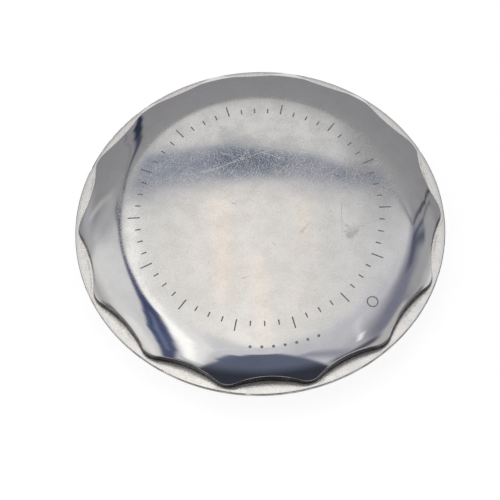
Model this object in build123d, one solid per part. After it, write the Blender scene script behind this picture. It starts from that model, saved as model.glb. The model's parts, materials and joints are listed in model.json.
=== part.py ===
from build123d import *
from math import asin, cos, degrees, isclose, pi, radians, sin, sqrt, tan
import os

# Screw-down watch case back, in millimetres. It stands on its skirt rim at z = 0,
# with its axis on Z and its polished dome up. One lobe tip points along +X.

# One overrun serves every cut.
overrun = 0.5

# Lobed grip
lobe_count = 14
rim_overhang = 0.83
lobe_depth = 0.77
tip_rounding = 1.6
rim_height = 0.5
grip_edge_round = 0.07

# Dome above the grip
crown_radius = 400.0
shoulder_width = 3.5
shoulder_radius = 6.7
cover_wall = 0.9
cavity_corner_round = 0.4

# Threaded skirt
thread_radius = 14.2
thread_pitch = 0.5
thread_height = 1.5
thread_crest_width = 0.0625
thread_lead_chamfer = 0.4
relief_height = 0.4
skirt_wall = 0.65
rim_break = 0.1
bore_break = 0.15

# Pressure ring and the groove that keeps it
ring_thickness = 0.35
ring_margin = 0.4
ring_edge_round = 0.06
groove_depth = 0.2
lip_break = 0.05
ring_running_clearance = 0.04
ring_axial_play = 0.04

# Sealing ring
seal_cord_radius = 0.4
seal_clearance = 0.04

# Engraved track on the dome, one tall stroke at each lobe
track_radius = 10.75
stroke_length = 1.08
short_stroke_length = 0.5
stroke_width = 0.13
engraving_depth = 0.06
strokes_per_lobe = 4
pip_radius = 0.13
pip_row_radius = 12.5
pip_pitch = 0.95
pip_count = 7
pip_row_bearing = -83.0
punch_outer_radius = 0.5
punch_line_width = 0.12
punch_radius = 12.6
punch_bearing = -45.0

# Thread section
thread_angle = 60.0
thread_flank_width = (thread_pitch - 2 * thread_crest_width) / 2
thread_depth = thread_flank_width / tan(radians(thread_angle / 2))
root_radius = thread_radius - thread_depth

# Radii from the axis outwards
bore_radius = root_radius - skirt_wall
neck_radius = thread_radius - groove_depth
ring_bore_radius = neck_radius + ring_running_clearance
lobe_valley_radius = neck_radius + rim_overhang
lobe_tip_radius = lobe_valley_radius + lobe_depth
ring_outer_radius = lobe_tip_radius + ring_margin
seal_inner_radius = thread_radius + seal_clearance
seal_centre_radius = seal_inner_radius + seal_cord_radius

# Heights from the skirt rim upwards
relief_top = thread_height + relief_height
land_height = 2 * seal_cord_radius + seal_clearance
land_top = relief_top + land_height
ring_bottom = land_top + ring_axial_play
ring_top = ring_bottom + ring_thickness
grip_bottom = ring_top + ring_axial_play
tip_edge_top = grip_bottom + rim_height
seal_centre_height = ring_bottom - seal_clearance - seal_cord_radius

# Dome: a large crown runs into a tight shoulder, tangent where they meet
shoulder_start_radius = lobe_tip_radius - shoulder_width
crown_angle = asin(shoulder_start_radius / crown_radius)
edge_angle = asin(sin(crown_angle) + shoulder_width / shoulder_radius)
shoulder_drop = shoulder_radius * (cos(crown_angle) - cos(edge_angle))
crown_drop = crown_radius * (1 - cos(crown_angle))
apex_height = tip_edge_top + shoulder_drop + crown_drop
crown_centre_height = apex_height - crown_radius
shoulder_centre_radius = (crown_radius - shoulder_radius) * sin(crown_angle)
shoulder_centre_height = crown_centre_height + (crown_radius - shoulder_radius) * cos(crown_angle)


def spun(outline):
    """Full turn about Z, its seam midway between two strokes and clear of the tips."""
    seam_bearing = 1.5 * 360 / (lobe_count * strokes_per_lobe)
    return Rot(0, 0, seam_bearing) * revolve(make_face(outline), axis=Axis.Z)


def turned(points):
    """Solid of revolution about Z of a closed outline of radius and height pairs."""
    corners = [Vector(radius, 0, height) for radius, height in points]
    return spun(Polyline(*corners, close=True))


def dome_under(offset, outer_radius, floor_height):
    """Everything under the dome surface, moved inwards by offset, out to a radius."""
    crown = crown_radius - offset
    shoulder = shoulder_radius - offset
    half_angle = crown_angle / 2
    edge = asin(min((outer_radius - shoulder_centre_radius) / shoulder, 1.0))
    middle_angle = (crown_angle + edge) / 2

    def on_crown(angle):
        return Vector(crown * sin(angle), 0, crown_centre_height + crown * cos(angle))

    def on_shoulder(angle):
        reach = shoulder_centre_radius + shoulder * sin(angle)
        return Vector(reach, 0, shoulder_centre_height + shoulder * cos(angle))

    crown_arc = ThreePointArc(on_crown(0), on_crown(half_angle), on_crown(crown_angle))
    shoulder_arc = ThreePointArc(on_shoulder(crown_angle), on_shoulder(middle_angle), on_shoulder(edge))
    outer_foot = Vector(on_shoulder(edge).X, 0, floor_height)
    centre_foot = Vector(0, 0, floor_height)
    outer_side = Line(on_shoulder(edge), outer_foot)
    floor = Line(outer_foot, centre_foot)
    axis_side = Line(centre_foot, on_crown(0))
    return spun(Wire([crown_arc, shoulder_arc, outer_side, floor, axis_side]))


def lobed_outline():
    """Rounded tips joined by concave scallops, tangent all the way round."""
    half_pitch = pi / lobe_count
    tip_centre = lobe_tip_radius - tip_rounding
    # The scallop's centre lies outside the valley by its own radius, and its
    # distance from the tip's centre is the sum of both radii.
    numerator = tip_rounding**2 - tip_centre**2 - lobe_valley_radius**2
    numerator += 2 * tip_centre * lobe_valley_radius * cos(half_pitch)
    denominator = 2 * (lobe_valley_radius - tip_rounding - tip_centre * cos(half_pitch))
    scallop_radius = numerator / denominator
    scallop_centre = lobe_valley_radius + scallop_radius
    across = scallop_centre * sin(half_pitch)
    along = scallop_centre * cos(half_pitch) - tip_centre
    reach = sqrt(across**2 + along**2)
    join = Vector(tip_centre + tip_rounding * along / reach, tip_rounding * across / reach)
    edges = []
    for lobe in range(lobe_count):
        bearing = lobe * 360 / lobe_count
        next_bearing = bearing + 360 / lobe_count
        start = Vector(join.X, -join.Y).rotate(Axis.Z, bearing)
        tip = Vector(lobe_tip_radius, 0).rotate(Axis.Z, bearing)
        end = join.rotate(Axis.Z, bearing)
        valley = Vector(lobe_valley_radius, 0).rotate(Axis.Z, bearing + 180 / lobe_count)
        next_start = Vector(join.X, -join.Y).rotate(Axis.Z, next_bearing)
        edges.append(ThreePointArc(start, tip, end))
        edges.append(ThreePointArc(end, valley, next_start))
    return make_face(Wire(edges))


def thread_ridge():
    """External thread above its root, cut off square at both ends of the thread."""
    buried = thread_crest_width / 2
    half_crest = thread_crest_width / 2
    half_base = thread_pitch / 2 - half_crest + buried * tan(radians(thread_angle / 2))
    base = root_radius - buried
    corners = [(base, -half_base), (thread_radius, -half_crest)]
    corners += [(thread_radius, half_crest), (base, half_base)]
    climb = thread_height + 2 * thread_pitch
    curves = []
    for radius, rise in corners:
        helix = Pos(0, 0, rise - thread_pitch) * Helix(thread_pitch, climb, radius)
        curves.append(helix.edges()[0])
    sides = [Face.make_surface_from_curves(curves[side - 1], curves[side]) for side in range(4)]
    ends = [Face(Wire.make_polygon([curve @ end for curve in curves])) for end in (0, 1)]
    ridge = Solid(Shell(sides + ends))
    inner = root_radius - thread_depth
    outer = thread_radius + overrun
    sleeve = turned([
        (inner, 0),
        (thread_radius - thread_lead_chamfer, 0),
        (thread_radius, thread_lead_chamfer),
        (outer, thread_lead_chamfer),
        (outer, thread_height),
        (inner, thread_height),
    ])
    return ridge & sleeve


def skirt():
    """Thread core, relief, gasket land and the neck that the ring turns on."""
    return turned([
        (0, 0),
        (root_radius - rim_break, 0),
        (root_radius, rim_break),
        (root_radius, relief_top - rim_break),
        (thread_radius - rim_break, relief_top),
        (thread_radius, relief_top + rim_break),
        (thread_radius, land_top - lip_break),
        (thread_radius - lip_break, land_top),
        (neck_radius, land_top),
        (neck_radius, grip_bottom + cover_wall / 2),
        (0, grip_bottom + cover_wall / 2),
    ])


def cavity():
    """Space over the movement, rounded under the dome and opened out at its mouth."""
    space = dome_under(cover_wall, bore_radius, 0)
    circles = space.edges().filter_by(GeomType.CIRCLE).sort_by(Axis.Z)
    rims = [edge for edge in circles if isclose(edge.radius, bore_radius)]
    space = fillet(rims[-1], cavity_corner_round)
    mouth = turned([
        (0, -overrun),
        (bore_radius + bore_break + overrun, -overrun),
        (bore_radius, bore_break),
        (0, bore_break),
    ])
    return space + mouth


def on_dome(radius, bearing):
    """Place square to the dome surface, at a radius and a bearing in degrees."""
    if radius < shoulder_start_radius:
        angle = asin(radius / crown_radius)
        height = crown_centre_height + crown_radius * cos(angle)
    else:
        angle = asin((radius - shoulder_centre_radius) / shoulder_radius)
        height = shoulder_centre_height + shoulder_radius * cos(angle)
    return Rot(0, 0, bearing) * Pos(radius, 0, height) * Rot(0, degrees(angle), 0)


def engraving():
    """Cutters for the track, the row of pips and the small round punch mark."""
    sink = Pos(0, 0, -engraving_depth)
    reach = engraving_depth + overrun
    tall_stroke = sink * extrude(SlotOverall(stroke_length, stroke_width), reach)
    short_shift = Pos((short_stroke_length - stroke_length) / 2, 0, 0)
    short_stroke = short_shift * sink * extrude(SlotOverall(short_stroke_length, stroke_width), reach)
    pip = sink * extrude(Circle(pip_radius), reach)
    punch_line = Circle(punch_outer_radius) - Circle(punch_outer_radius - punch_line_width)
    punch = sink * extrude(punch_line, reach)
    total = lobe_count * strokes_per_lobe
    cutters = [on_dome(punch_radius, punch_bearing) * punch]
    for index in range(total):
        stroke = short_stroke if index % strokes_per_lobe else tall_stroke
        cutters.append(on_dome(track_radius, index * 360 / total) * stroke)
    for index in range(pip_count):
        step = (index - (pip_count - 1) / 2) * degrees(pip_pitch / pip_row_radius)
        cutters.append(on_dome(pip_row_radius, pip_row_bearing + step) * pip)
    return cutters


def back_cover():
    """Polished lobed dome in one piece with its threaded skirt."""
    dome = dome_under(0, lobe_tip_radius + overrun, grip_bottom - overrun)
    prism = extrude(lobed_outline(), apex_height + overrun - grip_bottom)
    grip = Pos(0, 0, grip_bottom) * prism & dome
    top_edges = [edge for edge in grip.edges() if edge.center().Z > grip_bottom + rim_height / 4]
    grip = fillet(top_edges, grip_edge_round)
    body = grip + skirt() + thread_ridge()
    body = body - cavity()
    return body - engraving()


def pressure_ring():
    """Thin flat ring, free to turn in the groove under the grip."""
    profile = turned([
        (ring_bore_radius, ring_bottom),
        (ring_outer_radius, ring_bottom),
        (ring_outer_radius, ring_top),
        (ring_bore_radius, ring_top),
    ])
    circles = profile.edges().filter_by(GeomType.CIRCLE)
    rims = [edge for edge in circles if isclose(edge.radius, ring_outer_radius)]
    return fillet(rims, ring_edge_round)


def sealing_ring():
    """Round rubber cord in a closed ring on the land, under the pressure ring."""
    cord = Torus(seal_centre_radius, seal_cord_radius)
    return Pos(0, 0, seal_centre_height) * cord


os.makedirs("parts", exist_ok=True)
export_step(back_cover(), "parts/back_cover.step")
export_step(pressure_ring(), "parts/pressure_ring.step")
export_step(sealing_ring(), "parts/sealing_ring.step")
print("height", round(apex_height, 3), "across", round(2 * ring_outer_radius, 3))
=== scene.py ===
import json
import math
import bmesh
import bpy
from mathutils import Matrix, Vector

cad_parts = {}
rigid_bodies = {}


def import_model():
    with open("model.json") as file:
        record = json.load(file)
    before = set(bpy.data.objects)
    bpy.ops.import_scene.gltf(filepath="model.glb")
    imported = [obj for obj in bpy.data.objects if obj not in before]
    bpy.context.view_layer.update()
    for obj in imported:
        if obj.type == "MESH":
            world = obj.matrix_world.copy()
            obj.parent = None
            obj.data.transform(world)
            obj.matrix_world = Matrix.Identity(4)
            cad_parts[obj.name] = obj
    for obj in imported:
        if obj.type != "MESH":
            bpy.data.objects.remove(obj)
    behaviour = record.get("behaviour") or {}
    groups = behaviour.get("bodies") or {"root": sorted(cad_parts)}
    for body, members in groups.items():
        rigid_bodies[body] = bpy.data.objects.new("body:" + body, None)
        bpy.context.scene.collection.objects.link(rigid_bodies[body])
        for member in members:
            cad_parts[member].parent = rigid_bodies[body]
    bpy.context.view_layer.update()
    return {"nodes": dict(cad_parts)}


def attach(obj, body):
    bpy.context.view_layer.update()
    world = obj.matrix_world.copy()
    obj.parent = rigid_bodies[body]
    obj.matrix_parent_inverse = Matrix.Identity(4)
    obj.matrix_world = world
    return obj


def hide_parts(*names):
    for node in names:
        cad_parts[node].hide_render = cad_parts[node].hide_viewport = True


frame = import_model()
mm = 0.001
print("frame loaded:", ", ".join(sorted(frame["nodes"])))

scene = bpy.context.scene
scene.view_settings.view_transform = "Standard"


# Helpers for node trees
def feed(tree, socket, value):
    if isinstance(value, bpy.types.NodeSocket):
        tree.links.new(value, socket)
    else:
        socket.default_value = value


def addNode(tree, kind, inputs=None, **settings):
    made = tree.nodes.new(kind)
    for name, value in settings.items():
        setattr(made, name, value)
    for key, value in (inputs or {}).items():
        feed(tree, made.inputs[key], value)
    return made


def calc(tree, operation, *values):
    made = addNode(tree, "ShaderNodeMath", operation=operation)
    for socket, value in zip(made.inputs, values):
        feed(tree, socket, value)
    return made.outputs[0]


def gather(tree, operation, values):
    result = values[0]
    for value in values[1:]:
        result = calc(tree, operation, result, value)
    return result


def times(tree, *values):
    return gather(tree, "MULTIPLY", values)


def plus(tree, *values):
    return gather(tree, "ADD", values)


def most(tree, *values):
    return gather(tree, "MAXIMUM", values)


def vectorCalc(tree, operation, *values):
    made = addNode(tree, "ShaderNodeVectorMath", operation=operation)
    for socket, value in zip(made.inputs, values):
        feed(tree, socket, value)
    return made.outputs["Value" if operation in ("LENGTH", "DOT_PRODUCT") else "Vector"]


def scaled(tree, vector, factor):
    return addNode(tree, "ShaderNodeVectorMath", {0: vector, "Scale": factor}, operation="SCALE").outputs[0]


def apartXYZ(tree, vector):
    return addNode(tree, "ShaderNodeSeparateXYZ", {0: vector}).outputs


def joinXYZ(tree, x, y, z=0.0):
    return addNode(tree, "ShaderNodeCombineXYZ", {"X": x, "Y": y, "Z": z}).outputs[0]


# Distance from the upright axis through the middle
def radiusOf(tree, parts):
    return vectorCalc(tree, "LENGTH", joinXYZ(tree, parts["X"], parts["Y"]))


def softStep(tree, value, low, high):
    inputs = {"Value": value, "From Min": low, "From Max": high}
    return addNode(tree, "ShaderNodeMapRange", inputs, interpolation_type="SMOOTHSTEP").outputs["Result"]


def spread(tree, value, low, high):
    inputs = {"Value": value, "To Min": low, "To Max": high}
    return addNode(tree, "ShaderNodeMapRange", inputs).outputs["Result"]


def blendColours(tree, factor, first, second):
    first, second = ((*tone, 1) if isinstance(tone, tuple) else tone for tone in (first, second))
    return addNode(tree, "ShaderNodeMix", {0: factor, 6: first, 7: second}, data_type="RGBA").outputs[2]


def newGroup(name, inputs, output):
    tree = bpy.data.node_groups.new(name, "ShaderNodeTree")
    for socketName, kind in inputs.items():
        tree.interface.new_socket(socketName, in_out="INPUT", socket_type=f"NodeSocket{kind}")
    tree.interface.new_socket(output, in_out="OUTPUT", socket_type="NodeSocketFloat")
    entry = tree.nodes.new("NodeGroupInput")
    leave = tree.nodes.new("NodeGroupOutput")
    return tree, entry.outputs, leave.inputs[output]


def useGroup(tree, group, **inputs):
    made = tree.nodes.new("ShaderNodeGroup")
    made.node_tree = group
    for name, value in inputs.items():
        feed(tree, made.inputs[name], value)
    return made.outputs[0]


# A straight soft-edged strip from Start to End, with a half width at each end
def makeStripGroup():
    sockets = {"Place": "Vector", "Start": "Vector", "End": "Vector"}
    sockets |= {"StartWidth": "Float", "EndWidth": "Float", "Softness": "Float"}
    tree, entry, mask = newGroup("softStrip", sockets, "Mask")
    run = vectorCalc(tree, "SUBTRACT", entry["End"], entry["Start"])
    offset = vectorCalc(tree, "SUBTRACT", entry["Place"], entry["Start"])
    covered = vectorCalc(tree, "DOT_PRODUCT", offset, run)
    along = calc(tree, "DIVIDE", covered, vectorCalc(tree, "DOT_PRODUCT", run, run))
    along = addNode(tree, "ShaderNodeClamp", {"Value": along}).outputs[0]
    away = vectorCalc(tree, "LENGTH", vectorCalc(tree, "SUBTRACT", offset, scaled(tree, run, along)))
    widths = {0: along, 2: entry["StartWidth"], 3: entry["EndWidth"]}
    width = addNode(tree, "ShaderNodeMix", widths).outputs[0]
    outer = plus(tree, width, entry["Softness"])
    inner = calc(tree, "SUBTRACT", width, entry["Softness"])
    feed(tree, mask, softStep(tree, away, outer, inner))
    return tree


# Long thin scratches, one in each stretched cell, all near one angle
def makeScratchGroup():
    sockets = {"Place": "Vector", "Angle": "Float", "Spacing": "Float", "Stretch": "Float"}
    sockets |= {"HalfWidth": "Float", "Share": "Float", "Bend": "Float"}
    tree, entry, mask = newGroup("hairScratches", sockets, "Mask")
    drift = addNode(tree, "ShaderNodeTexNoise", {"Vector": entry["Place"], "Scale": 0.13, "Detail": 0.0})
    drift = vectorCalc(tree, "SUBTRACT", drift.outputs["Color"], (0.5, 0.5, 0.5))
    bent = vectorCalc(tree, "ADD", entry["Place"], scaled(tree, drift, entry["Bend"]))
    turned = addNode(tree, "ShaderNodeVectorRotate", {"Vector": bent, "Angle": entry["Angle"]},
                     rotation_type="Z_AXIS").outputs[0]
    parts = apartXYZ(tree, turned)
    length = times(tree, entry["Spacing"], entry["Stretch"])
    lengthwise = calc(tree, "DIVIDE", parts["X"], length)
    cell = joinXYZ(tree, lengthwise, calc(tree, "DIVIDE", parts["Y"], entry["Spacing"]))
    cells = addNode(tree, "ShaderNodeTexVoronoi", {"Vector": cell, "Scale": 1.0}, voronoi_dimensions="2D")
    away = vectorCalc(tree, "SUBTRACT", cell, cells.outputs["Position"])
    across = apartXYZ(tree, away)
    thin = times(tree, calc(tree, "ABSOLUTE", across["Y"]), entry["Spacing"])
    fade = softStep(tree, calc(tree, "ABSOLUTE", across["X"]), 0.42, 0.15)
    width = times(tree, entry["HalfWidth"], fade)
    line = softStep(tree, thin, width, times(tree, width, 0.3))
    chance = addNode(tree, "ShaderNodeSeparateColor", {0: cells.outputs["Color"]}).outputs
    depth = softStep(tree, chance["Red"], calc(tree, "SUBTRACT", 1.0, entry["Share"]), 1.0)
    feed(tree, mask, times(tree, line, depth, fade))
    return tree


# Cloudy patches for haze, smudges and grime
def makePatchGroup():
    sockets = {"Place": "Vector", "Size": "Float", "Detail": "Float", "Low": "Float", "High": "Float"}
    tree, entry, mask = newGroup("patches", sockets, "Mask")
    scale = calc(tree, "DIVIDE", 1.0, entry["Size"])
    cloud = addNode(tree, "ShaderNodeTexNoise",
                    {"Vector": entry["Place"], "Scale": scale, "Detail": entry["Detail"], "Roughness": 0.6})
    feed(tree, mask, softStep(tree, cloud.outputs[0], entry["Low"], entry["High"]))
    return tree


# Small round pits or specks
def makeSpeckGroup():
    sockets = {"Place": "Vector", "Spacing": "Float", "Radius": "Float", "Share": "Float"}
    tree, entry, mask = newGroup("specks", sockets, "Mask")
    scale = calc(tree, "DIVIDE", 1.0, entry["Spacing"])
    wobble = addNode(tree, "ShaderNodeTexNoise", {"Vector": entry["Place"], "Scale": 9.0, "Detail": 1.0})
    wobble = vectorCalc(tree, "SUBTRACT", wobble.outputs["Color"], (0.5, 0.5, 0.5))
    uneven = vectorCalc(tree, "ADD", entry["Place"], scaled(tree, wobble, entry["Radius"]))
    cells = addNode(tree, "ShaderNodeTexVoronoi", {"Vector": uneven, "Scale": scale})
    chance = addNode(tree, "ShaderNodeSeparateColor", {0: cells.outputs["Color"]}).outputs
    edge = calc(tree, "DIVIDE", entry["Radius"], entry["Spacing"])
    edge = times(tree, edge, spread(tree, chance["Blue"], 0.35, 1.0))
    dots = softStep(tree, cells.outputs["Distance"], edge, times(tree, edge, 0.5))
    feed(tree, mask, times(tree, dots, calc(tree, "LESS_THAN", chance["Green"], entry["Share"])))
    return tree


# Fine concentric tool marks, varying over radius and height
def makeTurningGroup():
    tree, entry, height = newGroup("turningMarks", {"Place": "Vector", "Pitch": "Float"}, "Height")
    parts = apartXYZ(tree, entry["Place"])
    ringed = joinXYZ(tree, radiusOf(tree, parts), parts["Z"])
    scale = calc(tree, "DIVIDE", 1.0, entry["Pitch"])
    marks = addNode(tree, "ShaderNodeTexNoise", {"Vector": ringed, "Scale": scale, "Detail": 2.0},
                    noise_dimensions="2D")
    feed(tree, height, marks.outputs[0])
    return tree


# The lobed wall seen from above, as a mean radius and waves round it, in millimetres
wallLine = {"mean": 15.1377, "waves": ((14, 0.3684), (28, 0.0774), (42, 0.0204))}


# How far a place lies outside that wall
def makeWallReachGroup():
    tree, entry, reach = newGroup("wallReach", {"Place": "Vector"}, "Distance")
    parts = apartXYZ(tree, entry["Place"])
    bearing = calc(tree, "ARCTAN2", parts["Y"], parts["X"])
    waves = []
    for order, amount in wallLine["waves"]:
        wave = calc(tree, "COSINE", times(tree, bearing, order))
        waves.append(times(tree, wave, amount))
    outline = plus(tree, *waves, wallLine["mean"])
    feed(tree, reach, calc(tree, "SUBTRACT", radiusOf(tree, parts), outline))
    return tree


stripGroup = makeStripGroup()
scratchGroup = makeScratchGroup()
patchGroup = makePatchGroup()
speckGroup = makeSpeckGroup()
turningGroup = makeTurningGroup()
wallReachGroup = makeWallReachGroup()

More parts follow.
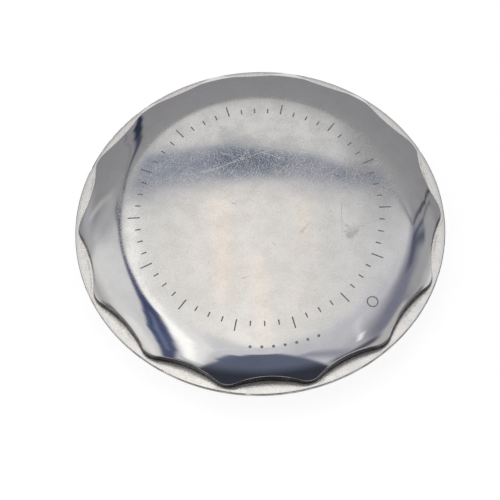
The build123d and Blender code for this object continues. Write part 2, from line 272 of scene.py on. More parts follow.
# Studio, in degrees. A turn runs from the horizon in front of the object (0) over the
# top (90) to the horizon behind it (180), and a side is negative to the left.
studio = {
    "overhead": [  # turn, tone
        (0, (0.80, 0.80, 0.80)),
        (30, (0.74, 0.74, 0.745)),
        (40, (0.60, 0.60, 0.61)),
        (48, (0.20, 0.19, 0.20)),
        (55, (0.10, 0.095, 0.10)),
        (62, (0.60, 0.60, 0.64)),
        (75, (0.74, 0.74, 0.78)),
        (100, (0.86, 0.86, 0.885)),
        (110, (0.93, 0.93, 0.94)),
        (117, (0.88, 0.88, 0.885)),
        (120, (0.66, 0.66, 0.67)),
        (122, (0.44, 0.44, 0.455)),
        (130, (0.385, 0.385, 0.395)),
        (142, (0.365, 0.36, 0.38)),
        (180, (0.345, 0.34, 0.36)),
    ],
    "strips": [  # start turn, side; end turn, side; half widths; softness; tone; amount
        ("leftFade", (123, -18), (126, -45), 2.5, 3.5, 3, (0.56, 0.56, 0.585), 0.9),
        ("leftWall", (75, -42), (108, -44), 12, 14, 8, (0.92, 0.92, 0.92), 1.0),
        ("leftDim", (90, -56), (110, -59), 6, 6, 9, (0.47, 0.465, 0.465), 0.85),
        ("leftRim", (64, -40), (88, -38), 2.5, 3.5, 2.5, (1.05, 1.05, 1.03), 1.0),
        ("leftShade", (70, -51), (88, -53), 6.5, 6, 1.5, (0.21, 0.20, 0.215), 1.0),
        ("leftShadeFoot", (87, -51), (92, -58), 2.5, 3, 1.2, (0.19, 0.18, 0.19), 1.0),
        ("leftEdge", (110, -58), (132, -55.5), 1.5, 2, 2, (0.22, 0.215, 0.22), 0.9),
        ("lowLeftGlow", (128, -49), (144, -48), 6, 6, 6, (0.56, 0.555, 0.59), 0.9),
        ("lowLeftStreak", (126.5, -20), (137, -45), 0.5, 1.4, 1.3, (0.72, 0.72, 0.73), 0.7),
        ("rightCard", (72, 18), (108, 14), 12, 8, 8, (0.72, 0.715, 0.77), 1.0),
        ("rightDeepWide", (86, 38), (104, 36), 13.5, 13.5, 8, (0.29, 0.295, 0.36), 1.0),
        ("rightDeepInner", (106, 29.5), (116.5, 27.5), 5.5, 5.5, 4.5, (0.30, 0.305, 0.37), 0.85),
        ("rightGrey", (102, 47), (128, 50), 9, 9, 5, (0.47, 0.475, 0.49), 0.95),
        ("rightPale", (99, 56), (112, 57), 3.5, 3.5, 3, (0.62, 0.62, 0.63), 0.9),
        ("rightRim", (62, 41), (88, 42.5), 3, 3, 2.5, (0.62, 0.615, 0.61), 1.0),
        ("rightShade", (82, 51), (92, 56), 5, 3, 2, (0.09, 0.085, 0.08), 1.0),
        ("rightDeepTop", (78, 35), (96, 33.8), 3, 4, 3, (0.26, 0.27, 0.35), 0.9),
        ("rightDeepMiddle", (96, 33.8), (110, 31), 4, 3.2, 3, (0.26, 0.265, 0.34), 0.95),
        ("rightDeepFoot", (110, 30.5), (115.5, 28.5), 2.6, 2.2, 2.0, (0.15, 0.16, 0.23), 1.0),
        ("rightDeepOut", (115, 29.5), (118.8, 39.5), 2.4, 3.0, 3.2, (0.12, 0.14, 0.19), 1.0),
        ("rightSpot", (79, 26.5), (84.5, 24.5), 0.8, 1, 1.2, (1.35, 1.35, 1.28), 0.9),
        ("rightFaint", (86, 23), (102, 14), 0.8, 0.5, 1.5, (0.98, 0.98, 1.0), 0.6),
        ("seamStart", (121.3, 8.8), (119.3, 25), 0.2, 0.5, 0.5, (0.15, 0.15, 0.19), 0.75),
        ("seamBend", (119.6, 26), (126, 35), 0.5, 0.7, 0.6, (0.07, 0.07, 0.11), 0.95),
        ("seamMiddle", (126, 35), (133.5, 41.5), 0.7, 0.7, 0.5, (0.06, 0.06, 0.09), 0.95),
        ("seamEnd", (133.5, 41.5), (150, 48), 0.5, 0.7, 0.5, (0.06, 0.06, 0.08), 0.95),
        ("seamTwin", (116.5, 28), (123.5, 38), 0.9, 0.8, 0.7, (0.11, 0.12, 0.19), 0.9),
        ("seamTwinEnd", (123.5, 38), (141, 48), 0.6, 0.5, 0.7, (0.15, 0.16, 0.22), 0.85),
        ("crownLow", (113, -0.5), (121, -0.5), 7.6, 7.6, 1.4, (0.92, 0.915, 0.905), 1.0),
        ("crownSky", (125.4, -3.4), (125.4, 4.0), 1.9, 1.7, 1.5, (0.91, 0.91, 0.90), 1.0),
        ("bandFoot", (121.85, -7.2), (121.85, 7.4), 0.8, 0.6, 0.5, (0.57, 0.575, 0.62), 1.0),
        ("crownGlow", (114, -1.5), (121, -1.2), 4.6, 4.0, 3.5, (1.12, 1.08, 1.03), 0.9),
        ("nearGlow", (111, -0.6), (104, 0), 1.8, 1.5, 1.8, (1.26, 1.24, 1.20), 0.9),
        ("window", (112, -6.8), (93, -13.5), 2.2, 4.3, 1.5, (1.12, 1.12, 1.11), 1.0),
        ("windowFoot", (93, -13.5), (73, -20.5), 4.3, 3, 1.6, (1.12, 1.12, 1.11), 1.0),
        ("windowTop", (120.8, -8.0), (113, -8.2), 0.4, 1.2, 0.5, (1.34, 1.34, 1.30), 1.0),
        ("windowCore", (113, -9), (96, -14.4), 1.0, 2.2, 1.3, (1.5, 1.5, 1.46), 0.95),
        ("windowCoreFoot", (96, -14.4), (74, -21.5), 2.2, 1.8, 1.5, (1.5, 1.5, 1.46), 0.95),
        ("gapNotch", (122.6, -9.2), (119.5, -9.9), 0.3, 0.6, 0.5, (0.14, 0.14, 0.19), 0.9),
        ("gapBelly", (121.7, -12.6), (120.6, -10.8), 0.8, 0.9, 0.8, (0.19, 0.205, 0.27), 1.0),
        ("gapRise", (120, -10), (115, -10.9), 0.6, 1.1, 0.7, (0.12, 0.13, 0.21), 1.0),
        ("gapLow", (115, -10.9), (108, -14), 1.1, 2.2, 0.8, (0.085, 0.10, 0.20), 1.0),
        ("gapMiddle", (108, -14), (100, -19), 2.2, 3.0, 0.9, (0.075, 0.09, 0.20), 1.0),
        ("gapHigh", (100, -19), (90, -24.3), 3.0, 4.0, 0.9, (0.08, 0.10, 0.21), 1.0),
        ("gapTop", (90, -24.3), (80, -27.4), 4.0, 3.5, 1, (0.10, 0.13, 0.25), 1.0),
        ("gapEnd", (80, -27.4), (66, -32.5), 3.5, 2.6, 1.2, (0.10, 0.12, 0.22), 1.0),
        ("gapLine", (104, -16.8), (93, -23.2), 0.4, 0.8, 0.7, (0.24, 0.29, 0.42), 0.75),
        ("gapLineEnd", (93, -23.2), (76, -28.8), 0.8, 0.9, 0.9, (0.24, 0.29, 0.42), 0.7),
        ("fallStart", (122.6, -9.4), (129, -12.3), 0.3, 0.45, 0.35, (0.09, 0.08, 0.13), 1.0),
        ("fallMiddle", (129, -12.3), (144.2, -20), 0.45, 1.0, 0.45, (0.055, 0.06, 0.12), 1.0),
        ("fallBelly", (144.2, -20), (158, -23.7), 1.0, 1.25, 0.5, (0.025, 0.04, 0.07), 1.0),
        ("fallEnd", (158, -23.7), (178, -24.2), 1.25, 0.5, 0.5, (0.03, 0.04, 0.08), 1.0),
        ("fallTwin", (123.3, -10.8), (136, -18.3), 0.1, 0.2, 0.35, (0.24, 0.24, 0.29), 0.8),
        ("fallTwinEnd", (136, -18.3), (148.3, -25), 0.2, 0.3, 0.4, (0.24, 0.24, 0.29), 0.7),
        ("fallShade", (152, -26.3), (164, -28), 0.3, 0.4, 0.6, (0.20, 0.20, 0.27), 0.6),
        ("bandStart", (122.25, -7.5), (123.5, -6), 0.25, 1.2, 0.35, (0.25, 0.285, 0.39), 1.0),
        ("bandLeft", (123.5, -6), (123.8, -1), 1.2, 1.4, 0.4, (0.25, 0.285, 0.39), 1.0),
        ("bandMiddle", (123.8, -1), (123.2, 4), 1.4, 0.85, 0.4, (0.25, 0.285, 0.38), 1.0),
        ("bandEnd", (123.2, 4), (122, 8.6), 0.85, 0.3, 0.4, (0.26, 0.29, 0.38), 1.0),
        ("bandDeep", (124, -1.6), (123.6, 2.3), 0.6, 0.5, 0.5, (0.12, 0.145, 0.215), 0.9),
        ("bandDeepRight", (122.6, 6), (122.2, 7.8), 0.3, 0.25, 0.4, (0.18, 0.20, 0.27), 0.8),
        ("bandPaleStart", (122.9, -7.2), (123.4, -5.9), 0.5, 0.8, 0.6, (0.43, 0.46, 0.55), 0.55),
        ("bandPale", (122.7, -5.0), (122.8, -2.6), 0.5, 0.5, 0.6, (0.52, 0.53, 0.60), 0.75),
        ("bandPaleRight", (122.9, 3.0), (122.8, 4.6), 0.4, 0.4, 0.6, (0.50, 0.51, 0.57), 0.7),
        ("warmLeft", (114.4, -2.1), (120.6, -2.1), 0.5, 0.5, 0.6, (1.34, 1.18, 1.02), 0.75),
        ("warmMiddle", (106, 0.3), (116.6, 0.3), 0.45, 0.4, 0.5, (1.34, 1.20, 1.05), 0.7),
        ("warmRight", (117.5, 3.4), (120.4, 3.4), 0.45, 0.45, 0.6, (1.26, 1.12, 0.98), 0.75),
        ("warmRightLow", (113, 2.7), (114, 2.7), 0.3, 0.3, 0.5, (1.24, 1.12, 1.0), 0.6),
        ("lowDark", (66, 24), (70, 35), 3.5, 3.5, 3, (0.11, 0.10, 0.12), 0.95),
        ("lowDarkLeft", (63, -25), (63, -33), 2.5, 2.5, 1.5, (0.065, 0.062, 0.06), 0.95),
        ("tongueFade", (84, 9.5), (72, 22.5), 2.2, 3, 2.5, (0.30, 0.32, 0.40), 0.75),
        ("tongueShoulder", (80, -10), (88, -5.8), 1.9, 1.6, 0.8, (0.17, 0.205, 0.30), 1.0),
    ],
    # The dark wedge in front, which narrows as it climbs
    "tongueLow": 60, "tongueTip": 93, "tongueHalfWidth": 23, "tongueTipWidth": 2.2,
    "tongueSide": -1.5, "tongueSoft": 1.5, "tongueEdge": (1.0, -1.2),
    "tongueRise": (36, 46), "tongueDeepen": (60, 76),
    "tongueTone": (0.15, 0.175, 0.25),
    "tongueLowTone": (0.045, 0.05, 0.07),
    "floorHalfWidth": 400,
    "floorDepth": 0.02,
    "floorGlow": 0.78,
    "floorTone": 0.50,
    # Camera, in millimetres and degrees
    "aim": (-0.954, -2.683, 3.13),
    "distance": 109.95,
    "elevation": 61.69,
    "roll": -2.74,
    "lens": 92.49,
}


def makeWorld():
    world = bpy.data.worlds.new("studio")
    scene.world = world
    world.use_nodes = True
    tree = world.node_tree
    tree.nodes.clear()
    parts = apartXYZ(tree, addNode(tree, "ShaderNodeTexCoord").outputs["Generated"])
    turn = calc(tree, "ARCTAN2", parts["Z"], times(tree, parts["Y"], -1.0))
    turn = calc(tree, "DEGREES", turn)
    side = calc(tree, "DEGREES", calc(tree, "ARCSINE", parts["X"]))
    place = joinXYZ(tree, turn, side)

    ramp = addNode(tree, "ShaderNodeValToRGB", {0: calc(tree, "DIVIDE", turn, 180.0)})
    stops = ramp.color_ramp.elements
    while len(stops) < len(studio["overhead"]):
        stops.new(0.5)
    for stop, (angle, tone) in zip(stops, studio["overhead"]):
        stop.position = angle / 180
        stop.color = (*tone, 1)
    colour = ramp.outputs["Color"]

    for name, start, end, startWidth, endWidth, softness, tone, amount in studio["strips"]:
        mask = useGroup(tree, stripGroup, Place=place, Start=(*start, 0), End=(*end, 0),
                        StartWidth=startWidth, EndWidth=endWidth, Softness=softness)
        mask.node.label = name
        colour = blendColours(tree, times(tree, mask, amount), colour, tone)

    low, tip = studio["tongueLow"], studio["tongueTip"]
    climb = {"Value": turn, "From Min": low, "From Max": tip}
    narrowing = {"To Min": studio["tongueHalfWidth"], "To Max": studio["tongueTipWidth"]}
    halfWidth = addNode(tree, "ShaderNodeMapRange", climb | narrowing).outputs[0]
    leaning = {"To Min": studio["tongueSide"], "To Max": 0.0}
    middle = addNode(tree, "ShaderNodeMapRange", climb | leaning).outputs[0]
    apart = calc(tree, "ABSOLUTE", calc(tree, "SUBTRACT", side, middle))
    apart = calc(tree, "SUBTRACT", apart, halfWidth)
    inTongue = times(tree, softStep(tree, apart, *studio["tongueEdge"]),
                     softStep(tree, turn, *studio["tongueRise"]),
                     softStep(tree, turn, tip, tip - studio["tongueSoft"]))
    depth = softStep(tree, turn, *studio["tongueDeepen"])
    tongue = blendColours(tree, depth, studio["tongueLowTone"], studio["tongueTone"])
    colour = blendColours(tree, inTongue, colour, tongue)

    lit = addNode(tree, "ShaderNodeBackground", {"Color": colour, "Strength": 1.0})
    plain = addNode(tree, "ShaderNodeBackground", {"Color": (1, 1, 1, 1), "Strength": 1.0})
    seen = addNode(tree, "ShaderNodeLightPath").outputs["Is Camera Ray"]
    both = addNode(tree, "ShaderNodeMixShader", {0: seen, 1: lit.outputs[0], 2: plain.outputs[0]})
    addNode(tree, "ShaderNodeOutputWorld", {"Surface": both.outputs[0]})


def makeCamera():
    data = bpy.data.cameras.new("camera")
    data.sensor_width = 36
    data.lens = studio["lens"]
    data.clip_start = 1 * mm
    camera = bpy.data.objects.new("camera", data)
    scene.collection.objects.link(camera)
    tilt = Matrix.Rotation(math.radians(90 - studio["elevation"]), 4, "X")
    roll = Matrix.Rotation(math.radians(studio["roll"]), 4, "Z")
    back = Matrix.Translation((0, 0, studio["distance"] * mm))
    camera.matrix_world = Matrix.Translation(Vector(studio["aim"]) * mm) @ tilt @ roll @ back
    scene.camera = camera


def makeFloor():
    bpy.ops.object.select_all(action="DESELECT")
    depth = studio["floorDepth"] * mm
    bpy.ops.mesh.primitive_plane_add(size=2 * studio["floorHalfWidth"] * mm, location=(0, 0, -depth))
    floor = bpy.context.object
    floor.name = "floor"
    material = bpy.data.materials.new("paleFloor")
    material.use_nodes = True
    tree = material.node_tree
    tree.nodes.clear()
    matt = addNode(tree, "ShaderNodeBsdfDiffuse", {"Color": (*[studio["floorTone"]] * 3, 1)})
    glow = addNode(tree, "ShaderNodeEmission", {"Color": (1, 1, 1, 1), "Strength": studio["floorGlow"]})
    both = addNode(tree, "ShaderNodeAddShader", {0: matt.outputs[0], 1: glow.outputs[0]})
    # Clear from below, so that the underside can be looked at
    below = addNode(tree, "ShaderNodeNewGeometry").outputs["Backfacing"]
    clear = addNode(tree, "ShaderNodeBsdfTransparent")
    mixed = addNode(tree, "ShaderNodeMixShader", {0: below, 1: both.outputs[0], 2: clear.outputs[0]})
    addNode(tree, "ShaderNodeOutputMaterial", {"Surface": mixed.outputs[0]})
    floor.data.materials.append(material)


makeWorld()
makeCamera()
makeFloor()
print("studio ready")


# Helpers for modelling. Pieces are drawn at one unit to the millimetre.
def setMode(mode):
    bpy.ops.object.mode_set(mode=mode)


def selectAll(action="SELECT"):
    bpy.ops.mesh.select_all(action=action)


def drawLine(points, bearing=0.0):
    bpy.ops.mesh.primitive_plane_add(size=0.1)
    bpy.ops.mesh.merge(type="CENTER")
    corners = [Vector((radius * math.cos(bearing), radius * math.sin(bearing), height))
               for radius, height in points]
    bpy.ops.transform.translate(value=corners[0])
    for last, corner in zip(corners, corners[1:]):
        bpy.ops.mesh.extrude_vertices_move(TRANSFORM_OT_translate={"value": corner - last})


def dropAll():
    bpy.ops.object.select_all(action="DESELECT")


def pickPiece(piece):
    dropAll()
    piece.select_set(True)
    bpy.context.view_layer.objects.active = piece


def startDrawing(name):
    dropAll()
    bpy.ops.mesh.primitive_plane_add(size=1)
    piece = bpy.context.object
    piece.name = name
    piece.data.name = name
    setMode("EDIT")
    bpy.ops.mesh.delete(type="VERT")
    return piece


def faceOutwards():
    selectAll()
    bpy.ops.mesh.normals_make_consistent(inside=False)


def closeSkin():
    selectAll()
    bpy.ops.mesh.remove_doubles(threshold=0.001)
    faceOutwards()


def spunPiece(name, points, columns):
    piece = startDrawing(name)
    drawLine(points + points[:1])
    selectAll()
    bpy.ops.mesh.spin(steps=columns, angle=2 * math.pi, center=(0, 0, 0), axis=(0, 0, 1))
    closeSkin()
    setMode("OBJECT")
    return piece


# Faces are picked by the radius and height of their middle and by their normal
def coatFaces(piece, slot, test):
    pickPiece(piece)
    setMode("EDIT")
    bpy.ops.mesh.select_mode(type="FACE")
    selectAll("DESELECT")
    shape = bmesh.from_edit_mesh(piece.data)
    for face in shape.faces:
        middle = face.calc_center_median()
        face.select_set(test(math.hypot(middle.x, middle.y), middle.z, face.normal))
    bmesh.update_edit_mesh(piece.data)
    piece.active_material_index = slot
    bpy.ops.object.material_slot_assign()
    bpy.ops.mesh.select_mode(type="VERT")
    setMode("OBJECT")


# Corners are picked by radius, bearing in degrees and height
def pickCorners(piece, test):
    selectAll("DESELECT")
    shape = bmesh.from_edit_mesh(piece.data)
    for corner in shape.verts:
        place = corner.co
        bearing = math.degrees(math.atan2(place.y, place.x))
        corner.select_set(test(math.hypot(place.x, place.y), bearing, place.z))
    shape.select_flush_mode()
    bmesh.update_edit_mesh(piece.data)


# Copies of what is selected, each turned by the angle from the last
def copyRound(count, angle):
    bpy.ops.mesh.spin(dupli=True, steps=count, angle=count * angle, center=(0, 0, 0), axis=(0, 0, 1))


def combine(piece, tool, operation):
    change = piece.modifiers.new(operation.lower(), "BOOLEAN")
    change.operation = operation
    change.solver = "EXACT"
    change.material_mode = "TRANSFER"
    change.object = tool
    pickPiece(piece)
    bpy.ops.object.modifier_apply(modifier=change.name)
    bpy.data.objects.remove(tool)


def finishPiece(piece, body, node, angle=30):
    pickPiece(piece)
    piece.scale = (mm, mm, mm)
    bpy.ops.object.transform_apply(location=True, rotation=True, scale=True)
    bpy.ops.object.shade_smooth_by_angle(angle=math.radians(angle))
    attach(piece, body)
    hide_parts(node)
    print(piece.name, "made,", len(piece.data.polygons), "faces")


def newMaterial(name, **plain):
    material = bpy.data.materials.new(name)
    material.use_nodes = True
    tree = material.node_tree
    sockets = tree.nodes["Principled BSDF"].inputs
    for socketName, value in plain.items():
        sockets[socketName].default_value = value
    place = scaled(tree, addNode(tree, "ShaderNodeTexCoord").outputs["Object"], 1000.0)
    return material, tree, sockets, place


# Heights in millimetres become a normal
def raiseBump(tree, sockets, height):
    bump = addNode(tree, "ShaderNodeBump", {"Height": height, "Distance": mm, "Strength": 1.0})
    feed(tree, sockets["Normal"], bump.outputs[0])


# Cover: polished lobed dome in one piece with its threaded skirt, in millimetres
cover = {
    "lobes": 14,
    "halfLobeSteps": 20,
    "tipCentre": 14.0, "tipRadius": 1.6, "tipTurn": 2.8,
    "scallopCentre": 25.021, "scallopRadius": 10.191,
    "crownRadius": 400, "apex": 4.966,
    "shoulderStart": 11.897, "shoulderRadius": 6.7, "joinSoftness": 0.08,
    "lobesStart": 13.3,
    "edgeRound": 0.08, "gripBottom": 3.17, "gripBreak": 0.04,
    "skirt": [(14.0, 3.17), (14.0, 2.74), (14.15, 2.74), (14.2, 2.69), (14.2, 2.0), (14.1, 1.9),
              (13.875, 1.8), (13.875, 0.95), (13.875, 0.1), (13.775, 0), (13.375, 0), (13.225, 0.15),
              (13.225, 1.8)],
    "wall": 0.9, "cavityCorner": (12.825, 3.4057, 0.4), "cavityCornerTurn": 80.1,
    "shoulderCentre": -1.914, "innerShoulder": (12.6, 12.3, 12.1), "innerCrown": (11.6, 10, 8, 6, 4, 2, 0),
    "threadRoot": 13.84, "threadCrest": 14.2, "threadHalfBase": 0.2368, "threadHalfCrest": 0.03125,
    "threadPitch": 0.5, "threadTurns": 5, "threadSteps": 224,
    # A hair taller than the thread's 1.5, so that the union with the skirt closes cleanly
    "threadSleeve": [(13.55, 0), (13.55, 1.503), (14.7, 1.503), (14.7, 0.4), (14.2, 0.4), (13.8, 0)],
    "strokeStart": 10.21, "longStroke": 1.08, "shortStroke": 0.5, "strokeRadius": 0.065,
    "strokeSkew": 0.23,
    "pipRow": (12.5, -83, 0.95, 7), "pipRadius": 0.13,
    "punch": (12.6, -45, 0.44, 0.06),
    # Normal heights for picking finishes; dome faces steeper than the first take the wall's dark colour,
    # which is painted shade
    "paintedShadeSlope": 0.68, "sideSlope": 0.12, "undersideSlope": -0.9,
}


# Sine of the dome's slope, where the wide crown blends into the tight shoulder
def shoulderSlope(radius):
    crown = radius / cover["crownRadius"]
    shoulder = (radius - cover["shoulderStart"]) / cover["shoulderRadius"]
    soft = cover["joinSoftness"]
    return max(crown, shoulder) + max(soft - abs(crown - shoulder), 0) ** 2 / (4 * soft)


# Heights at each hundredth of a millimetre from the middle, summed from the slope
def makeDomeTable():
    heights = [cover["apex"]]
    for step in range(1600):
        sine = shoulderSlope((step + 0.5) / 100)
        heights.append(heights[-1] - 0.01 * sine / math.sqrt(1 - sine * sine))
    return heights


domeTable = makeDomeTable()


def domeHeight(radius):
    step = min(int(radius * 100), len(domeTable) - 2)
    share = radius * 100 - step
    return domeTable[step] * (1 - share) + domeTable[step + 1] * share


# Radius of the wall, a round tip at bearing 0 and then half a scallop
def lobeReach(bearing):
    if bearing < math.radians(cover["tipTurn"]):
        centre, radius, sign, turn = cover["tipCentre"], cover["tipRadius"], 1, bearing
    else:
        centre, radius, sign = cover["scallopCentre"], cover["scallopRadius"], -1
        turn = math.pi / cover["lobes"] - bearing
    return centre * math.cos(turn) + sign * math.sqrt(radius ** 2 - (centre * math.sin(turn)) ** 2)


# Half section from the apex down the outside, round the skirt and up the inside.
# The steps are close where the crown runs into the shoulder.
def coverLine(reach):
    radii = [0.8 * step for step in range(15)] + [11.2 + 0.1 * step for step in range(1, 21)]
    start = cover["lobesStart"]
    edge = cover["edgeRound"]
    contact = reach - edge
    for attempt in range(4):
        contact = reach - edge + edge * shoulderSlope(contact)
    slope = math.asin(shoulderSlope(contact))
    centre = domeHeight(contact) - edge * math.cos(slope)
    radii += [start + (contact - start) * step / 20 for step in range(21)]
    points = [(radius, domeHeight(radius)) for radius in radii]
    for step in range(1, 6):
        turn = (math.pi / 2 - slope) * (1 - step / 5)
        points.append((reach - edge + edge * math.cos(turn), centre + edge * math.sin(turn)))
    foot, small = cover["gripBottom"], cover["gripBreak"]
    points += [(reach, (centre + foot) / 2), (reach, foot + small), (reach - small, foot)]
    neck = cover["skirt"][0][0]
    points += [(neck + (reach - small - neck) * share, foot) for share in (0.75, 0.5, 0.25)]
    points += cover["skirt"]
    x, z, radius = cover["cavityCorner"]
    for step in range(6):
        turn = math.radians(cover["cavityCornerTurn"]) * step / 5
        points.append((x + radius * math.cos(turn), z + radius * math.sin(turn)))
    inner = cover["shoulderRadius"] - cover["wall"]
    for radius in cover["innerShoulder"]:
        rise = math.sqrt(inner ** 2 - (radius - cover["shoulderStart"]) ** 2)
        points.append((radius, cover["shoulderCentre"] + rise))
    depth = cover["crownRadius"] - cover["wall"]
    for radius in cover["innerCrown"]:
        points.append((radius, cover["apex"] - cover["crownRadius"] + math.sqrt(depth ** 2 - radius ** 2)))
    return points


# One half lobe is bridged from profiles, mirrored, and spun round in copies
def drawCover():
    piece = startDrawing("polished_cover")
    half = math.pi / cover["lobes"]
    for step in range(cover["halfLobeSteps"] + 1):
        bearing = half * step / cover["halfLobeSteps"]
        drawLine(coverLine(lobeReach(bearing)), bearing)
    selectAll()
    bpy.ops.mesh.bridge_edge_loops(type="SINGLE", use_merge=False)
    setMode("OBJECT")
    mirror = piece.modifiers.new("otherHalf", "MIRROR")
    mirror.use_axis = (False, True, False)
    mirror.merge_threshold = 0.0005
    bpy.ops.object.modifier_apply(modifier=mirror.name)
    setMode("EDIT")
    selectAll()
    copyRound(cover["lobes"] - 1, 2 * half)
    closeSkin()
    setMode("OBJECT")
    return piece


def drawThread():
    piece = startDrawing("thread")
    root, crest = cover["threadRoot"], cover["threadCrest"]
    base, top = cover["threadHalfBase"], cover["threadHalfCrest"]
    ridge = [(root, -base), (crest, -top), (crest, top), (root, base)]
    drawLine([(radius, height - cover["threadPitch"]) for radius, height in ridge + ridge[:1]])
    selectAll()
    bpy.ops.mesh.remove_doubles(threshold=0.001)
    setMode("OBJECT")
    wind = piece.modifiers.new("wind", "SCREW")
    wind.steps = cover["threadSteps"]
    wind.render_steps = cover["threadSteps"]
    wind.iterations = cover["threadTurns"]
    wind.screw_offset = cover["threadPitch"]
    bpy.ops.object.modifier_apply(modifier=wind.name)
    setMode("EDIT")
    selectAll()
    bpy.ops.mesh.fill_holes(sides=4)
    faceOutwards()
    setMode("OBJECT")
    combine(piece, spunPiece("sleeve", cover["threadSleeve"], cover["threadSteps"]), "INTERSECT")
    return piece


# A round-ended stroke along a radius, sunk by half its width
def addStroke(piece, length):
    start, radius = cover["strokeStart"], cover["strokeRadius"]
    end = start + length - 2 * radius
    selectAll("DESELECT")
    near = start + radius
    bpy.ops.mesh.primitive_uv_sphere_add(segments=12, ring_count=6, radius=radius, location=(0, 0, 0))
    bpy.ops.transform.translate(value=(near, 0, domeHeight(near)))
    shape = bmesh.from_edit_mesh(piece.data)
    fresh = [corner for corner in shape.verts if corner.select]
    for corner in fresh:
        corner.select_set(corner.co.x > near + 0.001)
    shape.select_flush_mode()
    bmesh.update_edit_mesh(piece.data)
    bpy.ops.transform.translate(value=(end - start, 0, domeHeight(end) - domeHeight(near)))
    bpy.ops.mesh.select_linked()


# Where something sits square on the dome
def onDome(radius, turn):
    place = (radius * math.cos(turn), radius * math.sin(turn), domeHeight(radius))
    return {"location": place, "rotation": (0, math.asin(shoulderSlope(radius)), turn)}


def drawMarks():
    piece = startDrawing("marks")
    quarter = 2 * math.pi / cover["lobes"] / 4
    skew = math.radians(cover["strokeSkew"])  # keeps the cuts off the columns of the dome
    addStroke(piece, cover["shortStroke"])
    copyRound(3, quarter)
    pickCorners(piece, lambda radius, bearing, height: abs(bearing) < 1)
    bpy.ops.mesh.delete(type="VERT")
    addStroke(piece, cover["longStroke"])
    selectAll()
    copyRound(cover["lobes"] - 1, 4 * quarter)

    selectAll()
    bpy.ops.transform.rotate(value=skew, orient_axis="Z", center_override=(0, 0, 0))

    radius, bearing, pitch, count = cover["pipRow"]
    for step in range(count):
        turn = math.radians(bearing) + (step - (count - 1) / 2) * pitch / radius
        bpy.ops.mesh.primitive_uv_sphere_add(segments=20, ring_count=10, radius=cover["pipRadius"],
                                             scale=(1, 1, 0.5), **onDome(radius, turn))
    radius, bearing, loop, line = cover["punch"]
    bpy.ops.mesh.primitive_torus_add(major_segments=64, minor_segments=10, major_radius=loop,
                                     minor_radius=line, **onDome(radius, math.radians(bearing)))
    setMode("OBJECT")
    return piece


crownSteel = {
    "tone": (0.672, 0.668, 0.664),
    "stain": (0.36, 0.33, 0.30),
    "fresh": (0.82, 0.82, 0.81),
    "crownEdge": (12.6, 11.8),
    "crownRoughness": 0.047, "shoulderRoughness": 0.05,
    "scratchRoughness": 0.28, "rubRoughness": 0.3,
    "haze": 0.022,
    "mottle": 0.17,
    "fineScratches": 0.52,
    "ripple": 0.0003,
    "scratches": [  # angle, spacing, stretch, half width, share, bend, depth
        (25, 0.10, 16, 0.0095, 0.70, 2.0, 0.95),
        (-52, 0.12, 14, 0.0095, 0.65, 3.0, 0.9),
        (84, 0.17, 11, 0.011, 0.55, 2.0, 0.9),
        (152, 0.36, 10, 0.015, 0.45, 4.0, 0.9),
    ],
    "bright": [  # scratches down to clean steel: start, end, half width, depth
        ((-4.71, 4.14), (1.31, 6.3), 0.016, 0.8),
        ((-3.0, 6.14), (-0.84, 5.27), 0.018, 0.5),
        ((0.51, 6.03), (2.47, 5.09), 0.016, 0.7),
        ((-2.19, 4.11), (-0.8, 6.32), 0.014, 0.45),
        ((-4.9, 4.3), (-3.9, 4.55), 0.03, 0.7),
        ((3.43, 9.51), (3.23, 7.68), 0.016, 0.6),
        ((-4.06, -12.49), (-1.48, -12.65), 0.02, 0.6),
    ],
    "dark": [  # nicks and rubs that hold dirt
        ((7.55, -2.65), (8.2, -2.2), 0.36, 0.9),
        ((7.1, -2.3), (8.9, -1.75), 0.12, 0.55),
        ((7.3, -1.7), (8.25, -2.75), 0.14, 0.5),
        ((7.95, -2.0), (7.65, -3.25), 0.14, 0.5),
        ((7.05, 0.5), (6.85, -3.1), 0.02, 1.0),
        ((3.34, -2.17), (4.16, -1.33), 0.035, 1.0),
        ((3.5, -2.27), (3.88, -1.71), 0.035, 1.0),
        ((-2.3, 0.98), (-1.96, 0.87), 0.05, 1.0),
        ((-1.73, -6.25), (-1.06, -6.1), 0.04, 1.0),
        ((1.0, -3.1), (1.25, -3.3), 0.04, 1.0),
        ((7.71, 5.04), (7.72, 2.98), 0.018, 0.9),
    ],
}


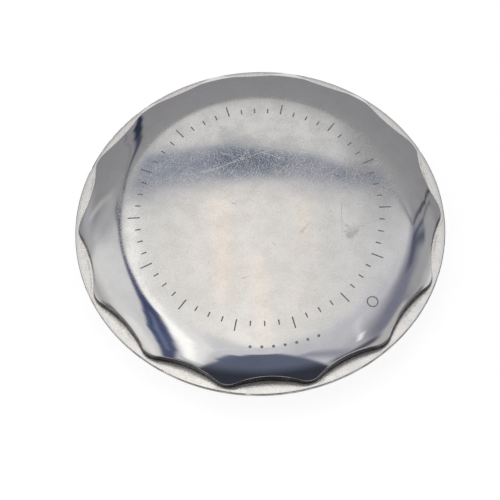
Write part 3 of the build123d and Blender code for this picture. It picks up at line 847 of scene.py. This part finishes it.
def makeCrownSteel():
    material, tree, sockets, place = newMaterial("polishedSteel", Metallic=1.0)
    parts = apartXYZ(tree, place)
    flat = joinXYZ(tree, parts["X"], parts["Y"])
    onCrown = softStep(tree, vectorCalc(tree, "LENGTH", flat), *crownSteel["crownEdge"])

    hairs = []
    for angle, spacing, stretch, halfWidth, share, bend, depth in crownSteel["scratches"]:
        field = useGroup(tree, scratchGroup, Place=flat, Angle=math.radians(angle), Spacing=spacing,
                         Stretch=stretch, HalfWidth=halfWidth, Share=share, Bend=bend)
        hairs.append(times(tree, field, depth))
    hairs = times(tree, most(tree, *hairs), spread(tree, onCrown, 0.12, 1.0))
    marks = {}
    for kind in ("bright", "dark"):
        strips = []
        for start, end, halfWidth, depth in crownSteel[kind]:
            strip = useGroup(tree, stripGroup, Place=flat, Start=(*start, 0), End=(*end, 0),
                             StartWidth=halfWidth, EndWidth=halfWidth * 0.4,
                             Softness=0.02 + halfWidth * 0.8)
            strips.append(times(tree, strip, depth))
        marks[kind] = most(tree, *strips)
    fine = useGroup(tree, patchGroup, Place=place, Size=0.075, Detail=2.0, Low=0.50, High=0.72)
    fine = times(tree, fine, onCrown, crownSteel["fineScratches"])
    scratched = most(tree, hairs, marks["bright"], fine)
    pits = useGroup(tree, speckGroup, Place=place, Spacing=0.75, Radius=0.055, Share=0.5)
    grain = useGroup(tree, patchGroup, Place=place, Size=0.16, Detail=3.0, Low=0.42, High=0.72)
    worn = times(tree, marks["dark"], spread(tree, grain, 0.6, 1.0))
    rubbed = most(tree, worn, pits)

    haze = useGroup(tree, patchGroup, Place=place, Size=1.6, Detail=5.0, Low=0.38, High=0.66)
    smudges = useGroup(tree, patchGroup, Place=place, Size=4.5, Detail=3.0, Low=0.55, High=0.72)
    smear = times(tree, plus(tree, haze, smudges), spread(tree, onCrown, 0.35, 1.0), crownSteel["haze"])
    rough = spread(tree, onCrown, crownSteel["shoulderRoughness"], crownSteel["crownRoughness"])
    rough = plus(tree, rough, smear, times(tree, scratched, crownSteel["scratchRoughness"]),
                 times(tree, rubbed, crownSteel["rubRoughness"]))
    feed(tree, sockets["Roughness"], rough)

    mottle = times(tree, plus(tree, grain, haze), spread(tree, onCrown, 0.55, 1.0), crownSteel["mottle"])
    dirt = most(tree, times(tree, smudges, 0.2), mottle, times(tree, rubbed, 0.75))
    colour = blendColours(tree, dirt, crownSteel["tone"], crownSteel["stain"])
    feed(tree, sockets["Base Color"], blendColours(tree, scratched, colour, crownSteel["fresh"]))
    ripple = addNode(tree, "ShaderNodeTexNoise", {"Vector": place, "Scale": 0.5, "Detail": 1.0}).outputs[0]
    raiseBump(tree, sockets, times(tree, ripple, crownSteel["ripple"]))
    return material


# Grip steel: the near-black tone is painted shade, the lighter streak colour is painted highlight, and the
# brown grime at the foot is dirt
gripSteelPaintedShade = {"tone": (0.035, 0.033, 0.037), "paintedStreakHighlight": (0.14, 0.135, 0.13), "grime": (0.03, 0.018, 0.014),
             "reach": 15.0, "upright": 0.12, "foot": (3.62, 3.2)}


# The wall between the dome and the flange, with upright polishing streaks: its near-black colour is painted
# shade and its lighter streaks are painted highlights
def makeGripSteelPaintedShade():
    material, tree, sockets, place = newMaterial("gripSteelPaintedShade", Metallic=1.0)
    parts = apartXYZ(tree, place)
    bearing = calc(tree, "ARCTAN2", parts["Y"], parts["X"])
    upright = times(tree, parts["Z"], gripSteelPaintedShade["upright"])
    around = joinXYZ(tree, times(tree, bearing, gripSteelPaintedShade["reach"]), upright)
    streaks = useGroup(tree, patchGroup, Place=around, Size=0.16, Detail=3.0, Low=0.40, High=0.70)
    broad = useGroup(tree, patchGroup, Place=around, Size=0.8, Detail=1.0, Low=0.42, High=0.66)
    foot = softStep(tree, parts["Z"], *gripSteelPaintedShade["foot"])
    blots = useGroup(tree, patchGroup, Place=place, Size=0.35, Detail=4.0, Low=0.35, High=0.6)
    grime = times(tree, foot, blots)
    # Painted highlight: lighter colour along the polishing streaks, over the painted shade of the dark tone
    paintedStreakHighlight = times(tree, streaks, broad, 0.9)
    steel = blendColours(tree, paintedStreakHighlight, gripSteelPaintedShade["tone"], gripSteelPaintedShade["paintedStreakHighlight"])
    feed(tree, sockets["Base Color"], blendColours(tree, grime, steel, gripSteelPaintedShade["grime"]))
    rough = plus(tree, spread(tree, streaks, 0.26, 0.36), times(tree, grime, 0.3))
    feed(tree, sockets["Roughness"], rough)
    raiseBump(tree, sockets, times(tree, plus(tree, streaks, grime), 0.006))
    return material


turnedSteel = {"tone": (0.58, 0.575, 0.57), "dull": (0.36, 0.33, 0.29)}


# Skirt, thread, underside and cavity: lathe-turned, with stains in the corners
def makeTurnedSteel():
    material, tree, sockets, place = newMaterial("turnedSteel", Metallic=1.0)
    marks = useGroup(tree, turningGroup, Place=place, Pitch=0.05)
    broad = useGroup(tree, turningGroup, Place=place, Pitch=0.6)
    stain = useGroup(tree, patchGroup, Place=place, Size=2.6, Detail=5.0, Low=0.50, High=0.68)
    scratch = useGroup(tree, scratchGroup, Place=place, Angle=0.7, Spacing=0.7, Stretch=9.0, HalfWidth=0.03,
                       Share=0.4, Bend=3.0)
    dulled = times(tree, stain, 0.6)
    colour = blendColours(tree, dulled, turnedSteel["tone"], turnedSteel["dull"])
    feed(tree, sockets["Base Color"], colour)
    rough = plus(tree, spread(tree, broad, 0.20, 0.34), times(tree, stain, 0.15), times(tree, scratch, 0.2))
    feed(tree, sockets["Roughness"], rough)
    raiseBump(tree, sockets, plus(tree, times(tree, marks, 0.004), times(tree, scratch, -0.003)))
    return material


markFill = {"tone": (0.33, 0.325, 0.32), "worn": (0.50, 0.49, 0.485)}


# Old grime packed into the engraving
def makeMarkFill():
    material, tree, sockets, place = newMaterial("markFill")
    lumps = useGroup(tree, patchGroup, Place=place, Size=0.12, Detail=3.0, Low=0.35, High=0.68)
    feed(tree, sockets["Base Color"], blendColours(tree, lumps, markFill["tone"], markFill["worn"]))
    feed(tree, sockets["Roughness"], spread(tree, lumps, 0.75, 0.5))
    raiseBump(tree, sockets, times(tree, lumps, 0.01))
    return material


def makeCover():
    piece = drawCover()
    combine(piece, drawThread(), "UNION")
    setMode("EDIT")
    closeSkin()
    bpy.ops.mesh.fill_holes(sides=4)
    setMode("OBJECT")
    piece.data.materials.clear()  # the union leaves an empty slot
    for make in (makeCrownSteel, makeGripSteelPaintedShade, makeTurnedSteel):
        piece.data.materials.append(make())
    outer, foot, skirt = cover["lobesStart"], cover["gripBottom"], cover["threadCrest"] + 0.1
    paintedShadeSteepness, side, below = cover["paintedShadeSlope"], cover["sideSlope"], cover["undersideSlope"]
    # Faces of the dome's edge round steeper than this slope take the grip steel's near-black colour:
    # painted shade
    coatFaces(piece, 0, lambda radius, height, normal: height > foot + 0.3 and normal.z > paintedShadeSteepness)
    coatFaces(piece, 1, lambda radius, height, normal:
              radius > outer and height > foot - 0.01 and normal.z <= paintedShadeSteepness)
    coatFaces(piece, 2, lambda radius, height, normal:
              normal.z < below or radius < outer and normal.z <= side or radius < skirt and height < foot)
    marks = drawMarks()
    marks.data.materials.append(makeMarkFill())
    combine(piece, marks, "DIFFERENCE")
    finishPiece(piece, "cover", "back_cover")


makeCover()

# Pressure ring: a thin flat washer, in millimetres
pressureRing = {
    "inner": 14.04, "outer": 16.0, "bottom": 2.78, "top": 3.13,
    "innerBreak": 0.03, "outerRound": 0.09, "columns": 896,
    "topRadii": (14.5, 14.9, 15.3, 15.7), "bottomRadii": (15.4, 14.8),
    # Bands of dirt at the wall and in a line off it, and the ring's dark edge, which is painted shade
    "dirtFoot": (0.16, 0), "dirtLineInner": (0.22, 0.32), "dirtLineOuter": (0.44, 0.34),
    "paintedShadeEdgeBand": (15.90, 15.965),
    "nicks": [  # bearing, half width in degrees, depth
        (122, 0.5, 0.07), (127.5, 0.35, 0.06), (131, 0.6, 0.08), (138, 0.4, 0.05), (144, 0.5, 0.08),
        (149.5, 0.35, 0.06), (157, 0.5, 0.05), (-158, 0.5, 0.05), (-121, 0.4, 0.05), (-96, 0.5, 0.06),
        (-71, 0.35, 0.05), (-38, 0.5, 0.06), (-12, 0.4, 0.05), (24, 0.5, 0.05), (71, 0.4, 0.06),
    ],
    "tone": (0.98, 0.96, 0.915),
    "paintedShadeEdgeTone": (0.17, 0.16, 0.155),
    "grime": (0.22, 0.16, 0.11),
    "speck": (0.36, 0.31, 0.25),
}


def makeDullSteel():
    material, tree, sockets, place = newMaterial("dullSteel")
    radius = radiusOf(tree, apartXYZ(tree, place))
    reach = useGroup(tree, wallReachGroup, Place=place)
    cloud = useGroup(tree, patchGroup, Place=place, Size=0.9, Detail=5.0, Low=0.30, High=0.70)
    fine = useGroup(tree, patchGroup, Place=place, Size=0.16, Detail=2.0, Low=0.48, High=0.80)
    specks = useGroup(tree, speckGroup, Place=place, Spacing=0.42, Radius=0.08, Share=0.32)
    bigSpecks = useGroup(tree, speckGroup, Place=place, Spacing=1.3, Radius=0.14, Share=0.35)
    marks = useGroup(tree, turningGroup, Place=place, Pitch=0.08)

    # Dirt gathers at the foot of the wall and in a line a little way off it
    foot = softStep(tree, reach, *pressureRing["dirtFoot"])
    line = times(tree, softStep(tree, reach, *pressureRing["dirtLineInner"]),
                 softStep(tree, reach, *pressureRing["dirtLineOuter"]))
    broken = useGroup(tree, patchGroup, Place=place, Size=1.2, Detail=4.0, Low=0.46, High=0.58)
    line = times(tree, line, broken)
    grime = most(tree, times(tree, foot, spread(tree, cloud, 0.55, 1.0)), times(tree, line, 0.2))
    # Painted shade: a dark band round the outer edge, broken by cloud
    edge = times(tree, softStep(tree, radius, *pressureRing["paintedShadeEdgeBand"]), spread(tree, cloud, 0.95, 0.6))
    speckled = most(tree, times(tree, specks, 0.55), times(tree, bigSpecks, 0.6), times(tree, fine, 0.08))
    colour = blendColours(tree, speckled, pressureRing["tone"], pressureRing["speck"])
    colour = blendColours(tree, grime, colour, pressureRing["grime"])
    feed(tree, sockets["Base Color"], blendColours(tree, edge, colour, pressureRing["paintedShadeEdgeTone"]))
    dirty = most(tree, grime, speckled)
    feed(tree, sockets["Metallic"], spread(tree, dirty, 0.93, 0.3))
    rough = plus(tree, spread(tree, cloud, 0.23, 0.31), times(tree, dirty, 0.3))
    feed(tree, sockets["Roughness"], rough)
    raiseBump(tree, sockets, plus(tree, times(tree, marks, 0.003), times(tree, fine, 0.002),
                                  times(tree, speckled, -0.006)))
    return material


def makePressureRing():
    inner, outer = pressureRing["inner"], pressureRing["outer"]
    bottom, top = pressureRing["bottom"], pressureRing["top"]
    small, curve = pressureRing["innerBreak"], pressureRing["outerRound"]
    points = [(inner, bottom + small), (inner, top - small), (inner + small, top)]
    points += [(radius, top) for radius in pressureRing["topRadii"]]
    for centre, first in ((top - curve, 90), (bottom + curve, 0)):
        for step in range(5):
            turn = math.radians(first - 22.5 * step)
            points.append((outer - curve + curve * math.cos(turn), centre + curve * math.sin(turn)))
    points += [(radius, bottom) for radius in pressureRing["bottomRadii"]]
    points.append((inner + small, bottom))
    piece = spunPiece("pressure_washer", points, pressureRing["columns"])
    setMode("EDIT")
    for bearing, halfWidth, depth in pressureRing["nicks"]:
        pickCorners(piece, lambda radius, turn, height:
                    radius > outer - 0.05 and height > bottom + 0.2 and abs(turn - bearing) < halfWidth)
        turn = math.radians(bearing)
        bpy.ops.transform.translate(value=(-depth * math.cos(turn), -depth * math.sin(turn), -0.3 * depth))
    setMode("OBJECT")
    piece.data.materials.append(makeDullSteel())
    finishPiece(piece, "ring", "pressure_ring")


makePressureRing()

# Sealing ring: a moulded rubber cord ring, in millimetres
sealRing = {"centre": 14.64, "height": 2.34, "cord": 0.388, "ridge": 0.4, "columns": 336, "sides": 32,
            "seamHeight": (0.05, 0.02), "seamReach": (14.9, 15.0),
            "tone": (0.018, 0.018, 0.019), "dust": (0.085, 0.08, 0.075)}


def makeRubber():
    material, tree, sockets, place = newMaterial("sealRubber")
    parts = apartXYZ(tree, place)
    dust = useGroup(tree, patchGroup, Place=place, Size=0.8, Detail=5.0, Low=0.45, High=0.75)
    grain = useGroup(tree, patchGroup, Place=place, Size=0.07, Detail=2.0, Low=0.30, High=0.70)
    away = calc(tree, "ABSOLUTE", calc(tree, "SUBTRACT", parts["Z"], sealRing["height"]))
    outside = softStep(tree, radiusOf(tree, parts), *sealRing["seamReach"])
    seam = times(tree, softStep(tree, away, *sealRing["seamHeight"]), outside)
    pale = most(tree, times(tree, dust, 0.6), times(tree, seam, 0.5))
    feed(tree, sockets["Base Color"], blendColours(tree, pale, sealRing["tone"], sealRing["dust"]))
    feed(tree, sockets["Roughness"], spread(tree, most(tree, dust, grain), 0.42, 0.68))
    raiseBump(tree, sockets, times(tree, grain, 0.004))
    return material


def makeSealRing():
    centre, height, cord = sealRing["centre"], sealRing["height"], sealRing["cord"]
    dropAll()
    bpy.ops.mesh.primitive_torus_add(major_segments=sealRing["columns"], minor_segments=sealRing["sides"],
                                     major_radius=centre, minor_radius=cord, location=(0, 0, height))
    piece = bpy.context.object
    piece.name = "rubber_seal"
    piece.data.name = "rubber_seal"
    bpy.ops.object.transform_apply(location=True, rotation=True, scale=True)
    setMode("EDIT")
    for side in (1, -1):  # the mould line, outside and inside
        middle = centre + side * cord
        pickCorners(piece, lambda radius, turn, z: abs(radius - middle) < 0.002 and abs(z - height) < 0.002)
        bpy.ops.mesh.bevel(offset=0.03, segments=2)
        pickCorners(piece, lambda radius, turn, z: abs(radius - middle) < 0.004 and abs(z - height) < 0.002)
        reach = (centre + side * sealRing["ridge"]) / middle
        bpy.ops.transform.resize(value=(reach, reach, 1), center_override=(0, 0, height))
    faceOutwards()
    setMode("OBJECT")
    piece.data.materials.append(makeRubber())
    finishPiece(piece, "seal", "sealing_ring", angle=40)


makeSealRing()
